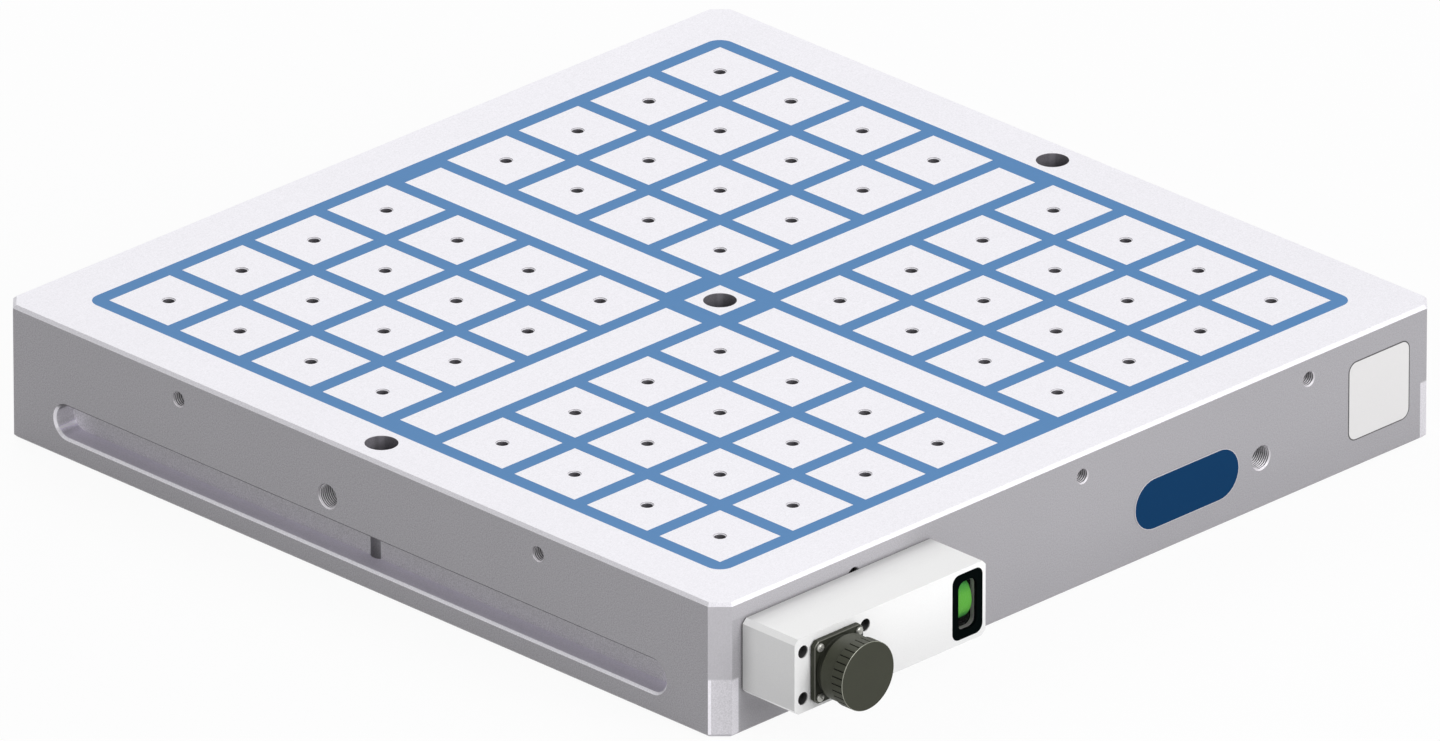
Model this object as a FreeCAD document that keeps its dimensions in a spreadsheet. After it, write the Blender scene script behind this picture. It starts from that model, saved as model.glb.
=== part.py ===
import FreeCAD, Part

# A square-pole magnetic chuck: a steel plate with 64 poles, its magnets and windings, and the connection box
# on its front side with a capped plug socket and a turning state indicator.
# Millimetres. Origin at the centre of the plate's underside, +Z up, the connection box on the -Y side.
import os
import re

import Sketcher
from FreeCAD import Placement, Rotation, Vector

SIZES = {
    # plate
    "plate_height": 86,
    "rim_width": 35,
    "corner_chamfer": 10,
    "edge_chamfer": 2,
    "field_corner_radius": 10,
    "floor_thickness": 22,
    # pole field
    "poles_per_row": 4,
    "pole_size": 50,
    "pole_gap": 10,
    "pole_hole": 8,
    "pole_hole_depth": 18,
    "bar_width": 30,
    "bar_end_gap": 15,
    "post_size": 30,
    # magnets and windings under the poles
    "coil_height": 20,
    "coil_gap": 0.5,
    "side_magnet_height": 32,
    # mounting holes through the plate
    "mount_edge": 20,
    "mount_hole": 13.5,
    "mount_head": 20,
    "mount_head_depth": 20,
    # clamp groove along the left and right sides
    "groove_height": 20.6,
    "groove_level": 24.4,
    "groove_length": 510,
    "groove_depth": 15,
    "groove_lip": 1.5,
    # threads in the four sides
    "stop_thread": 10,
    "stop_thread_depth": 20,
    "stop_thread_level": 71,
    "side_stop_spread": 150,
    "front_stop_spread": 190,
    "lift_thread": 16,
    "lift_thread_depth": 24,
    "side_lift_offset": 25,
    "side_lift_level": 49.6,
    "front_lift_offset": 150,
    "front_lift_level": 33,
    # connection box
    "box_edge": 17.5,
    "box_width": 157.5,
    "box_height": 48,
    "box_depth": 42.5,
    "box_level": 50,
    "box_chamfer": 3,
    "box_wall": 4,
    "box_front_wall": 6,
    "box_gasket": 1,
    "box_gasket_inset": 0.6,
    "box_screw_span": 51,
    "box_screw_rise": 30,
    "box_screw_boss": 6.5,
    "box_screw_head": 8,
    "box_screw_seat": 8,
    # plug socket
    "socket_from_edge": 32.5,
    "flange_size": 40,
    "flange_thickness": 3.4,
    "flange_gasket": 0.8,
    "flange_gasket_inset": 1,
    "flange_chamfer": 3,
    "barrel_radius": 17.45,
    "barrel_length": 20.4,
    "socket_bore_radius": 13,
    "socket_depth": 14.6,
    "insert_tail": 16,
    "pin_width": 3,
    "pin_circle": 7,
    "pin_length": 9,
    "pin_count": 4,
    "fit_gap": 0.05,
    "hole_gap": 0.2,
    # dust cap
    "cap_length": 18.8,
    "cap_grip_length": 8.7,
    "cap_grip_radius": 21.4,
    "cap_body_radius": 20.5,
    "cap_front_wall": 2.4,
    "cap_seal_thickness": 0.7,
    "cap_thread_gap": 0.3,
    "flute_count": 30,
    "flute_width": 1,
    "flute_depth": 0.8,
    # state indicator
    "indicator_from_edge": 15,
    "bezel_width": 25,
    "bezel_height": 42,
    "bezel_corner": 5.5,
    "window_width": 15,
    "window_height": 31.4,
    "window_corner": 5,
    "window_inset": 0.8,
    "window_thickness": 1.2,
    "drum_radius": 16,
    "drum_width": 13,
    "drum_recess": 3,
    "axle_radius": 1.5,
    "axle_gap": 0.05,
    "cheek_thickness": 2,
    "cheek_height": 16,
    "cheek_gap": 0.5,
    "drum_gap": 1.2,
    "flip_coil_size": 14,
    "flip_coil_window": 6,
    "flip_coil_length": 14,
    # supply lead and its duct
    "lead_radius": 3.5,
    "lead_gap": 0.3,
    "lead_drop": 12,
}

DERIVED = {
    "pole_pitch": "pole_size + pole_gap",
    "first_pole": "bar_width / 2 + pole_gap + pole_size / 2",
    "first_line": "bar_width / 2 + pole_gap / 2",
    "row_length": "poles_per_row * pole_pitch - pole_gap",
    "row_middle": "bar_width / 2 + pole_gap + row_length / 2",
    "field_half": "bar_width / 2 + row_length + 2 * pole_gap",
    "plate_half": "field_half + rim_width",
    "plate_side": "2 * plate_half",
    "bar_start": "post_size / 2 + bar_end_gap",
    "bar_length": "field_half - bar_end_gap - bar_start",
    "bar_height": "plate_height - floor_thickness",
    "coil_top": "floor_thickness + coil_height",
    "magnet_top": "coil_top + side_magnet_height",
    "mount_reach": "plate_half - mount_edge",
    "box_left": "box_edge - plate_half",
    "box_middle": "box_left + box_width / 2",
    "box_right": "box_left + box_width",
    "box_back": "plate_half + box_gasket",
    "box_front": "box_back + box_depth",
    "box_inside_front": "box_front - box_front_wall",
    "socket_across": "box_left + socket_from_edge",
    "flange_front": "flange_gasket + flange_thickness",
    "cap_rear": "flange_front + barrel_length + cap_seal_thickness + cap_front_wall - cap_length",
    "cap_floor": "cap_length - cap_front_wall",
    "cap_bore_radius": "barrel_radius + cap_thread_gap",
    "insert_front": "flange_front + barrel_length - socket_depth",
    "indicator_across": "box_right - indicator_from_edge",
    "drum_back": "box_front - drum_recess - drum_radius",
    "cheek_inside": "drum_width / 2 + cheek_gap",
    "cradle_back": "drum_back - drum_radius - drum_gap - cheek_thickness",
    "lead_level": "box_level - lead_drop",
    "insert_radius": "socket_bore_radius - fit_gap",
    "lead_end": "first_line + poles_per_row * pole_pitch - coil_gap",
}

doc = FreeCAD.newDocument("magnetic_chuck")
sheet = doc.addObject("Spreadsheet::Sheet", "sizes")
for row, (alias, number) in enumerate(SIZES.items(), 1):
    sheet.set(f"A{row}", alias)
    sheet.set(f"B{row}", str(number))
    sheet.setAlias(f"B{row}", alias)
doc.recompute()

pieces = []


def formula(text):
    """The text with each size pointed at the sheet and each derived length written out."""

    def swap(match):
        word = match.group(0)
        if word in DERIVED:
            return f"({formula(DERIVED[word])})"
        return f"sizes.{word}" if word in SIZES else word

    return re.sub(r"[a-z_]+", swap, text)


def bind(item, **texts):
    for name, text in texts.items():
        item.setExpression(name, formula(text))


def bind_base(item, path, x, y, z):
    for axis, text in zip("xyz", (x, y, z)):
        item.setExpression(f"{path}.{axis}", formula(text))


def keep(item):
    """Count an object as a sub-part, to be written to a file under its label."""
    pieces.append(item)
    return item


# Bodies, sketches and features


def new_body(name):
    body = doc.addObject("PartDesign::Body", name)
    body.Label = name
    return body


def place(item, x, y, z, rotation=Rotation()):
    item.Placement = Placement(Vector(0, 0, 0), rotation)
    bind_base(item, "Placement.Base", x, y, z)


def origin_feature(body, role):
    return next(item for item in body.Origin.OriginFeatures if item.Role == role)


def sketch_on(body, name, role, x="0", y="0", z="0"):
    """A sketch on an origin plane; x and y move its own origin in the plane and z lifts it off the plane."""
    sketch = body.newObject("Sketcher::SketchObject", name)
    sketch.AttachmentSupport = [(origin_feature(body, role), "")]
    sketch.MapMode = "FlatFace"
    bind_base(sketch, ".AttachmentOffset.Base", x, y, z)
    return sketch


def dimension(sketch, kind, where, text, start=10.0):
    index = sketch.addConstraint(Sketcher.Constraint(kind, *where, start))
    sketch.setExpression(f"Constraints[{index}]", formula(text))


def rectangle(sketch, width, height):
    corners = [Vector(-5, -5, 0), Vector(5, -5, 0), Vector(5, 5, 0), Vector(-5, 5, 0)]
    first = sketch.GeometryCount
    for side in range(4):
        sketch.addGeometry(Part.LineSegment(corners[side], corners[(side + 1) % 4]), False)
    for side in range(4):
        joint = Sketcher.Constraint("Coincident", first + side, 2, first + (side + 1) % 4, 1)
        sketch.addConstraint(joint)
        level = "Horizontal" if side % 2 == 0 else "Vertical"
        sketch.addConstraint(Sketcher.Constraint(level, first + side))
    sketch.addConstraint(Sketcher.Constraint("Symmetric", first, 1, first + 2, 1, -1, 1))
    dimension(sketch, "DistanceX", (first, 1, first, 2), width)
    dimension(sketch, "DistanceY", (first + 1, 1, first + 1, 2), height)


def disc(sketch, diameter):
    first = sketch.GeometryCount
    sketch.addGeometry(Part.Circle(Vector(0, 0, 0), Vector(0, 0, 1), 5), False)
    sketch.addConstraint(Sketcher.Constraint("Coincident", first, 3, -1, 1))
    dimension(sketch, "Diameter", (first,), diameter)


def octagon(sketch, across):
    """An eight-sided outline of a given width across its flats, for small bores and pins."""
    first = sketch.GeometryCount
    rim = [Vector(5, 0, 0)]
    while len(rim) < 8:
        rim.append(Rotation(Vector(0, 0, 1), 45 * len(rim)).multVec(rim[0]))
    for side in range(8):
        sketch.addGeometry(Part.LineSegment(rim[side], rim[(side + 1) % 8]), False)
    sketch.addGeometry(Part.Circle(Vector(0, 0, 0), Vector(0, 0, 1), 5), True)
    around = first + 8
    sketch.addConstraint(Sketcher.Constraint("Coincident", around, 3, -1, 1))
    for side in range(8):
        joint = Sketcher.Constraint("Coincident", first + side, 2, first + (side + 1) % 8, 1)
        sketch.addConstraint(joint)
        sketch.addConstraint(Sketcher.Constraint("PointOnObject", first + side, 1, around))
    for side in range(1, 8):
        sketch.addConstraint(Sketcher.Constraint("Equal", first, first + side))
    sketch.addConstraint(Sketcher.Constraint("PointOnObject", first, 1, -1))
    dimension(sketch, "Diameter", (around,), f"({across}) / cos(22.5)")


def quarter(x, y, start_turn):
    """A quarter circle of radius 2 round (x, y), from start_turn quarter turns on."""
    right_angle = 1.5707963267948966
    circle = Part.Circle(Vector(x, y, 0), Vector(0, 0, 1), 2)
    return Part.ArcOfCircle(circle, start_turn * right_angle, (start_turn + 1) * right_angle)


def rounded_rectangle(sketch, width, height, radius):
    first = sketch.GeometryCount
    sides = [
        (Vector(-6, -8, 0), Vector(6, -8, 0)),
        (Vector(8, -6, 0), Vector(8, 6, 0)),
        (Vector(6, 8, 0), Vector(-6, 8, 0)),
        (Vector(-8, 6, 0), Vector(-8, -6, 0)),
    ]
    corners = [quarter(6, -6, 3), quarter(6, 6, 0), quarter(-6, 6, 1), quarter(-6, -6, 2)]
    for (start, end), corner in zip(sides, corners):
        sketch.addGeometry(Part.LineSegment(start, end), False)
        sketch.addGeometry(corner, False)
    for step in range(8):
        join = (first + step, 2, first + (step + 1) % 8, 1)
        sketch.addConstraint(Sketcher.Constraint("Tangent", *join))
    for side in range(4):
        level = "Horizontal" if side % 2 == 0 else "Vertical"
        sketch.addConstraint(Sketcher.Constraint(level, first + 2 * side))
    for corner in range(3):
        pair = (first + 1 + 2 * corner, first + 3 + 2 * corner)
        sketch.addConstraint(Sketcher.Constraint("Equal", *pair))
    sketch.addConstraint(Sketcher.Constraint("Symmetric", first + 1, 3, first + 5, 3, -1, 1))
    dimension(sketch, "Radius", (first + 1,), radius, 2.0)
    dimension(sketch, "DistanceX", (first + 6, 1, first + 2, 1), width, 16.0)
    dimension(sketch, "DistanceY", (first, 1, first + 4, 1), height, 16.0)


def stadium(sketch, length, height):
    """A bar with full round ends, centred on the sketch's origin."""
    half_turn = 3.141592653589793
    right = Part.Circle(Vector(8, 0, 0), Vector(0, 0, 1), 3)
    left = Part.Circle(Vector(-8, 0, 0), Vector(0, 0, 1), 3)
    first = sketch.GeometryCount
    sketch.addGeometry(Part.LineSegment(Vector(-8, -3, 0), Vector(8, -3, 0)), False)
    sketch.addGeometry(Part.ArcOfCircle(right, -half_turn / 2, half_turn / 2), False)
    sketch.addGeometry(Part.LineSegment(Vector(8, 3, 0), Vector(-8, 3, 0)), False)
    sketch.addGeometry(Part.ArcOfCircle(left, half_turn / 2, 1.5 * half_turn), False)
    for step in range(4):
        join = (first + step, 2, first + (step + 1) % 4, 1)
        sketch.addConstraint(Sketcher.Constraint("Tangent", *join))
    sketch.addConstraint(Sketcher.Constraint("Horizontal", first))
    sketch.addConstraint(Sketcher.Constraint("Equal", first + 1, first + 3))
    sketch.addConstraint(Sketcher.Constraint("Symmetric", first + 1, 3, first + 3, 3, -1, 1))
    dimension(sketch, "Diameter", (first + 1,), height, 6.0)
    dimension(sketch, "DistanceX", (first + 3, 3, first + 1, 3), f"{length} - {height}", 16.0)


def turned_profile(sketch, corners):
    """A closed outline of (radius, height) corners, for a turned piece."""
    first = sketch.GeometryCount
    count = len(corners)
    rough = [Vector(10 + step, 3 * step * step, 0) for step in range(count)]
    for step in range(count):
        sketch.addGeometry(Part.LineSegment(rough[step], rough[(step + 1) % count]), False)
    for step in range(count):
        join = (first + step, 2, first + (step + 1) % count, 1)
        sketch.addConstraint(Sketcher.Constraint("Coincident", *join))
    for step, (radius, height) in enumerate(corners):
        for kind, text, axis in (("DistanceX", radius, -2), ("DistanceY", height, -1)):
            if text == "0":
                on_axis = Sketcher.Constraint("PointOnObject", first + step, 1, axis)
                sketch.addConstraint(on_axis)
            else:
                dimension(sketch, kind, (-1, 1, first + step, 1), text)


def pad(body, sketch, length):
    feature = body.newObject("PartDesign::Pad", "pad")
    feature.Profile = sketch
    bind(feature, Length=length)
    return feature


def pocket(body, sketch, depth=None, reverse=False):
    """Cut to a depth against the sketch's normal, or along it if reversed; with no depth, right through."""
    feature = body.newObject("PartDesign::Pocket", "pocket")
    feature.Profile = sketch
    feature.Reversed = reverse
    if depth is None:
        feature.Type = "ThroughAll"
    else:
        bind(feature, Length=depth)
    return feature


def revolve(body, sketch):
    feature = body.newObject("PartDesign::Revolution", "turned")
    feature.Profile = sketch
    feature.ReferenceAxis = (sketch, ["V_Axis"])
    feature.Angle = 360
    return feature


def polar(body, features, count, axis="Z_Axis"):
    pattern = body.newObject("PartDesign::PolarPattern", "round_pattern")
    pattern.Originals = features
    pattern.Axis = (origin_feature(body, axis), [""])
    pattern.Angle = 360
    bind(pattern, Occurrences=count)
    body.Tip = pattern
    return pattern


def line_step(body, axis, pitch, count, backwards=False):
    """One direction of a grid, for use inside a grid pattern."""
    step = doc.addObject("PartDesign::LinearPattern", "along")
    step.Direction = (origin_feature(body, axis), [""])
    step.Reversed = backwards
    bind(step, Length=f"({count} - 1) * {pitch}", Occurrences=count)
    return step


def mirror_step(body, role):
    step = doc.addObject("PartDesign::Mirrored", "across")
    step.MirrorPlane = (origin_feature(body, role), [""])
    return step


def grid(body, features, steps):
    pattern = body.newObject("PartDesign::MultiTransform", "grid")
    pattern.Originals = features
    pattern.Transformations = steps
    body.Tip = pattern
    return pattern


def chamfer_edges(body, size, wanted):
    """Chamfer the body's edges that pass the test; each edge is seen as its bounding box."""
    doc.recompute()
    base = body.Tip
    names = [
        f"Edge{index}"
        for index, edge in enumerate(base.Shape.Edges, 1)
        if wanted(edge.BoundBox, base.Shape.BoundBox)
    ]
    feature = body.newObject("PartDesign::Chamfer", "chamfer")
    feature.Base = (base, names)
    bind(feature, Size=size)
    doc.recompute()
    return feature


def near(value, target):
    return abs(value - target) < 0.01


def upright(edge, whole):
    """Vertical edges at the outer corners."""
    return edge.XLength < 0.01 and edge.YLength < 0.01


def lying_outline(edge, whole):
    """Edges of the top and bottom outlines."""
    flat = edge.ZLength < 0.01
    return flat and (near(edge.ZMin, whole.ZMin) or near(edge.ZMin, whole.ZMax))


def along_depth(edge, whole):
    """Edges that run front to back."""
    return edge.XLength < 0.01 and edge.ZLength < 0.01


def block(name, length, width, height, x, y, z):
    """A box with its lowest corner at (x, y, z)."""
    item = doc.addObject("Part::Box", name)
    item.Label = name
    bind(item, Length=length, Width=width, Height=height)
    bind_base(item, "Placement.Base", x, y, z)
    return item


def rod(name, radius, length, x, y, z, rotation):
    item = doc.addObject("Part::Cylinder", name)
    item.Label = name
    bind(item, Radius=radius, Height=length)
    place(item, x, y, z, rotation)
    return item


def cut(name, base, tool):
    item = doc.addObject("Part::Cut", name)
    item.Label = name
    item.Base = base
    item.Tool = tool
    return item


def fuse(name, *parts):
    item = doc.addObject("Part::MultiFuse", name)
    item.Label = name
    item.Shapes = list(parts)
    item.Refine = True
    return item


FORWARD = Rotation(Vector(1, 0, 0), 90)
SIDEWAYS = Rotation(Vector(0, 1, 0), 90)


# The plate


def side_hole(body, name, place_at, diameter, depth, reverse=False):
    """A round hole in an upright side; its place is an origin plane and (x, y, z) from that plane."""
    sketch = sketch_on(body, name, *place_at)
    disc(sketch, diameter)
    return pocket(body, sketch, depth, reverse)


def make_housing():
    body = new_body("housing")
    outline = sketch_on(body, "outline", "XY_Plane")
    rectangle(outline, "plate_side", "plate_side")
    pad(body, outline, "plate_height")
    chamfer_edges(body, "corner_chamfer", upright)
    chamfer_edges(body, "edge_chamfer", lying_outline)

    field = sketch_on(body, "field", "XY_Plane", z="plate_height")
    rounded_rectangle(field, "2 * field_half", "2 * field_half", "field_corner_radius")
    pocket(body, field, "plate_height - floor_thickness")

    for name, reach in (("left", "-mount_reach"), ("centre", "0"), ("right", "mount_reach")):
        hole = sketch_on(body, f"{name}_mount_hole", "XY_Plane", x=reach, z="plate_height")
        disc(hole, "mount_hole")
        pocket(body, hole)
        if name != "centre":
            head = sketch_on(body, f"{name}_mount_head", "XY_Plane", x=reach, z="plate_height")
            disc(head, "mount_head")
            pocket(body, head, "mount_head_depth")

    groove = sketch_on(body, "groove", "YZ_Plane", y="groove_level", z="plate_half")
    stadium(groove, "groove_length", "groove_height")
    right_lift = ("YZ_Plane", "-side_lift_offset", "side_lift_level", "plate_half")
    front_lift = ("XZ_Plane", "front_lift_offset", "front_lift_level", "plate_half")
    paired = [
        pocket(body, groove, "groove_depth"),
        side_hole(body, "right_lift", right_lift, "lift_thread", "lift_thread_depth"),
        side_hole(body, "front_lift", front_lift, "lift_thread", "lift_thread_depth"),
    ]
    polar(body, paired, "2")

    stop = ("stop_thread", "stop_thread_depth")
    for across in ("-side_stop_spread", "side_stop_spread"):
        left_stop = ("YZ_Plane", across, "stop_thread_level", "-plate_half")
        side_hole(body, "left_stop", left_stop, *stop, reverse=True)
    for across in ("-front_stop_spread", "0", "front_stop_spread"):
        front_stop = ("XZ_Plane", across, "stop_thread_level", "plate_half")
        side_hole(body, "front_stop", front_stop, *stop)
    duct = ("XZ_Plane", "socket_across", "lead_level", "plate_half")
    side_hole(body, "lead_duct", duct, "2 * (lead_radius + lead_gap)", "rim_width + edge_chamfer")

    level, reach = float(sheet.get("groove_level")), float(sheet.get("groove_height")) / 2

    def groove_mouth(edge, whole):
        on_side = edge.XLength < 0.01 and (near(edge.XMin, whole.XMin) or near(edge.XMin, whole.XMax))
        return on_side and edge.ZMin > level - reach - 0.01 and edge.ZMax < level + reach + 0.01

    chamfer_edges(body, "groove_lip", groove_mouth)
    return keep(body)


def quarter_grid(body):
    """The poles' places in one quarter of the field, then mirrored to the other three."""
    return [
        line_step(body, "X_Axis", "pole_pitch", "poles_per_row"),
        line_step(body, "Y_Axis", "pole_pitch", "poles_per_row"),
        mirror_step(body, "YZ_Plane"),
        mirror_step(body, "XZ_Plane"),
    ]


def make_pole_shoes():
    body = new_body("pole_shoes")
    face = sketch_on(body, "pole", "XY_Plane", "first_pole", "first_pole", "coil_top")
    rectangle(face, "pole_size", "pole_size")
    shoe = pad(body, face, "plate_height - coil_top")
    bore = sketch_on(body, "pole_thread", "XY_Plane", "first_pole", "first_pole", "plate_height")
    octagon(bore, "pole_hole")
    thread = pocket(body, bore, "pole_hole_depth")
    grid(body, [shoe, thread], quarter_grid(body))
    return keep(body)


def make_pole_coils():
    """A potted coil under each pole, wound on its own reversible magnet."""
    body = new_body("pole_coils")
    face = sketch_on(body, "coil", "XY_Plane", "first_pole", "first_pole", "floor_thickness")
    rectangle(face, "pole_pitch - 2 * coil_gap", "pole_pitch - 2 * coil_gap")
    coil = pad(body, face, "coil_height")
    grid(body, [coil], quarter_grid(body))
    return keep(body)


def magnet_lines(name, across, along, width, length, steps):
    """Side magnets that stand on the coils, in one quarter of the field and then in all four."""
    body = new_body(name)
    face = sketch_on(body, "magnet", "XY_Plane", across, along, "coil_top")
    rectangle(face, width, length)
    magnet = pad(body, face, "side_magnet_height")
    grids = [line_step(body, axis, pitch, count) for axis, pitch, count in steps]
    grids += [mirror_step(body, "YZ_Plane"), mirror_step(body, "XZ_Plane")]
    grid(body, [magnet], grids)
    return keep(body)


def make_side_magnets():
    """Long rows in the gaps along X and at the quarter's two edges along Y, short ones in between."""
    rows = [("Y_Axis", "pole_pitch", "(poles_per_row + 1)")]
    magnet_lines("row_magnets", "row_middle", "first_line", "row_length", "pole_gap", rows)
    edges = [("X_Axis", "poles_per_row * pole_pitch", "2")]
    magnet_lines("edge_magnets", "first_line", "row_middle", "pole_gap", "row_length", edges)
    between = [
        ("X_Axis", "pole_pitch", "(poles_per_row - 1)"),
        ("Y_Axis", "pole_pitch", "poles_per_row"),
    ]
    second_line = "first_line + pole_pitch"
    magnet_lines("column_magnets", second_line, "first_pole", "pole_gap", "pole_size", between)


def make_bars():
    """The four arms of the steel cross between the quarters of the field."""
    width, height, level = "bar_width", "bar_height", "floor_thickness"
    half = "-bar_width / 2"
    far = "-(bar_start + bar_length)"
    keep(block("right_bar", "bar_length", width, height, "bar_start", half, level))
    keep(block("left_bar", "bar_length", width, height, far, half, level))
    keep(block("rear_bar", width, "bar_length", height, half, "bar_start", level))
    keep(block("front_bar", width, "bar_length", height, half, far, level))


def make_centre_post():
    body = new_body("centre_post")
    face = sketch_on(body, "post", "XY_Plane", z="floor_thickness")
    rectangle(face, "post_size", "post_size")
    pad(body, face, "bar_height")
    head = sketch_on(body, "head", "XY_Plane", z="plate_height")
    disc(head, "mount_head")
    pocket(body, head, "mount_head_depth")
    hole = sketch_on(body, "hole", "XY_Plane", z="plate_height")
    disc(hole, "mount_hole")
    pocket(body, hole)
    return keep(body)


def make_top_resin():
    """The cast seal that fills the field flush round the poles, the bars and the post."""
    body = new_body("top_resin")
    depth = "plate_height - magnet_top"
    field = sketch_on(body, "field", "XY_Plane", z="magnet_top")
    rounded_rectangle(field, "2 * field_half", "2 * field_half", "field_corner_radius")
    pad(body, field, depth)
    middle = sketch_on(body, "post_window", "XY_Plane", z="plate_height")
    rectangle(middle, "post_size", "post_size")
    pocket(body, middle, depth)
    arm = "bar_start + bar_length / 2"
    along = sketch_on(body, "bar_window", "XY_Plane", x=arm, z="plate_height")
    rectangle(along, "bar_length", "bar_width")
    polar(body, [pocket(body, along, depth)], "4")
    pole = sketch_on(body, "pole_window", "XY_Plane", "first_pole", "first_pole", "plate_height")
    rectangle(pole, "pole_size", "pole_size")
    grid(body, [pocket(body, pole, depth)], quarter_grid(body))
    return keep(body)


# The connection box on the front side


def box_hollows(body, depth):
    """Cut the rooms behind the socket and the indicator, and the way between them, from the back."""
    boss_edge = "box_screw_span / 2 - box_screw_boss"
    room_height = "box_height - 2 * box_wall"
    left_end = "(socket_across + box_screw_span / 2 + box_screw_boss)"
    right_end = "(box_right - box_wall)"
    rooms = (
        ("socket_room", "socket_across", f"2 * ({boss_edge})", room_height),
        (
            "passage",
            "socket_across + box_screw_span / 2",
            "4 * box_screw_boss",
            "box_screw_rise - 2 * box_screw_boss",
        ),
        (
            "indicator_room",
            f"({left_end} + {right_end}) / 2",
            f"{right_end} - {left_end}",
            room_height,
        ),
    )
    for name, across, width, height in rooms:
        room = sketch_on(body, name, "XZ_Plane", across, "box_level", "plate_half")
        rectangle(room, width, height)
        pocket(body, room, depth, reverse=True)


def box_screw_places():
    for side in ("-", "+"):
        for rise in ("-", "+"):
            across = f"socket_across {side} box_screw_span / 2"
            level = f"box_level {rise} box_screw_rise / 2"
            yield across, level


def make_connection_box():
    body = new_body("connection_box")
    outline = sketch_on(body, "outline", "XZ_Plane", "box_middle", "box_level", "box_back")
    rectangle(outline, "box_width", "box_height")
    pad(body, outline, "box_depth")
    chamfer_edges(body, "box_chamfer", along_depth)
    box_hollows(body, "box_gasket + box_depth - box_front_wall")
    face = "box_front"
    bore = sketch_on(body, "socket_bore", "XZ_Plane", "socket_across", "box_level", face)
    disc(bore, "2 * (insert_radius + hole_gap)")
    pocket(body, bore, "box_front_wall")
    seat = sketch_on(body, "bezel_seat", "XZ_Plane", "indicator_across", "box_level", face)
    rounded_rectangle(seat, "bezel_width", "bezel_height", "bezel_corner")
    pocket(body, seat, "box_front_wall")
    for across, level in box_screw_places():
        head = sketch_on(body, "screw_head", "XZ_Plane", across, level, face)
        disc(head, "box_screw_head")
        pocket(body, head, "box_depth - box_screw_seat")
    return keep(body)


def make_box_gasket():
    body = new_body("box_gasket")
    outline = sketch_on(body, "outline", "XZ_Plane", "box_middle", "box_level", "plate_half")
    inset = "- 2 * box_gasket_inset"
    rectangle(outline, f"box_width {inset}", f"box_height {inset}")
    pad(body, outline, "box_gasket")
    chamfer_edges(body, "box_chamfer", along_depth)
    box_hollows(body, "box_gasket")
    return keep(body)


# The plug socket and its screwed cap, turned about an axis that points out of the box


def place_on_socket(body, out):
    """Stand a piece on the socket's axis, its own foot a distance out of the box's front face."""
    place(body, "socket_across", f"-(box_front + {out})", "box_level", FORWARD)


def make_flange_gasket():
    body = new_body("flange_gasket")
    face = sketch_on(body, "face", "XY_Plane")
    rectangle(face, "flange_size - 2 * flange_gasket_inset", "flange_size - 2 * flange_gasket_inset")
    pad(body, face, "flange_gasket")
    window = sketch_on(body, "window", "XY_Plane", z="flange_gasket")
    rectangle(window, "2 * (insert_radius + hole_gap)", "2 * (insert_radius + hole_gap)")
    pocket(body, window)
    place_on_socket(body, "0")
    return keep(body)


def make_connector_shell():
    body = new_body("connector_shell")
    face = sketch_on(body, "flange", "XY_Plane")
    rectangle(face, "flange_size", "flange_size")
    pad(body, face, "flange_thickness")
    chamfer_edges(body, "flange_chamfer", upright)
    length = "flange_thickness + barrel_length"
    barrel = sketch_on(body, "barrel", "XY_Plane")
    disc(barrel, "2 * barrel_radius")
    pad(body, barrel, length)
    bore = sketch_on(body, "bore", "XY_Plane", z=length)
    disc(bore, "2 * socket_bore_radius")
    pocket(body, bore)
    place_on_socket(body, "flange_gasket")
    return keep(body)


def make_connector_insert():
    """The insulator in the shell's bore; its tail stands into the box."""
    body = new_body("connector_insert")
    face = sketch_on(body, "face", "XY_Plane")
    disc(face, "2 * insert_radius")
    pad(body, face, "insert_tail + insert_front")
    place_on_socket(body, "(-insert_tail)")
    return keep(body)


def make_connector_pins():
    body = new_body("connector_pins")
    face = sketch_on(body, "pin", "XY_Plane", x="pin_circle")
    octagon(face, "pin_width")
    pin = pad(body, face, "pin_length")
    polar(body, [pin], "pin_count")
    place_on_socket(body, "insert_front")
    return keep(body)


def make_dust_cap():
    body = new_body("dust_cap")
    profile = sketch_on(body, "profile", "XZ_Plane")
    grip_foot = "cap_length - cap_grip_length"
    corners = (
        ("cap_bore_radius", "0"),
        ("cap_body_radius", "0"),
        ("cap_body_radius", grip_foot),
        ("cap_grip_radius", grip_foot),
        ("cap_grip_radius", "cap_length"),
        ("0", "cap_length"),
        ("0", "cap_floor"),
        ("cap_bore_radius", "cap_floor"),
    )
    turned_profile(profile, corners)
    revolve(body, profile)
    flute = sketch_on(body, "flute", "XY_Plane", x="cap_grip_radius", z="cap_length")
    rectangle(flute, "2 * flute_depth", "flute_width")
    polar(body, [pocket(body, flute, "cap_grip_length")], "flute_count")
    place_on_socket(body, "cap_rear")
    return keep(body)


def make_cap_seal():
    """A flat rubber disc in the floor of the cap, against the socket's rim."""
    body = new_body("cap_seal")
    face = sketch_on(body, "face", "XY_Plane")
    disc(face, "2 * barrel_radius")
    pad(body, face, "cap_seal_thickness")
    place_on_socket(body, "flange_front + barrel_length")
    return keep(body)


# The state indicator: a two-coloured drum that turns over behind a window


def make_indicator_bezel():
    body = new_body("indicator_bezel")
    place_at = ("indicator_across", "box_level")
    face = sketch_on(body, "face", "XZ_Plane", *place_at, "box_inside_front")
    rounded_rectangle(face, "bezel_width", "bezel_height", "bezel_corner")
    pad(body, face, "box_front_wall")
    opening = sketch_on(body, "opening", "XZ_Plane", *place_at, "box_front")
    rounded_rectangle(opening, "window_width", "window_height", "window_corner")
    pocket(body, opening)
    return keep(body)


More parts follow.
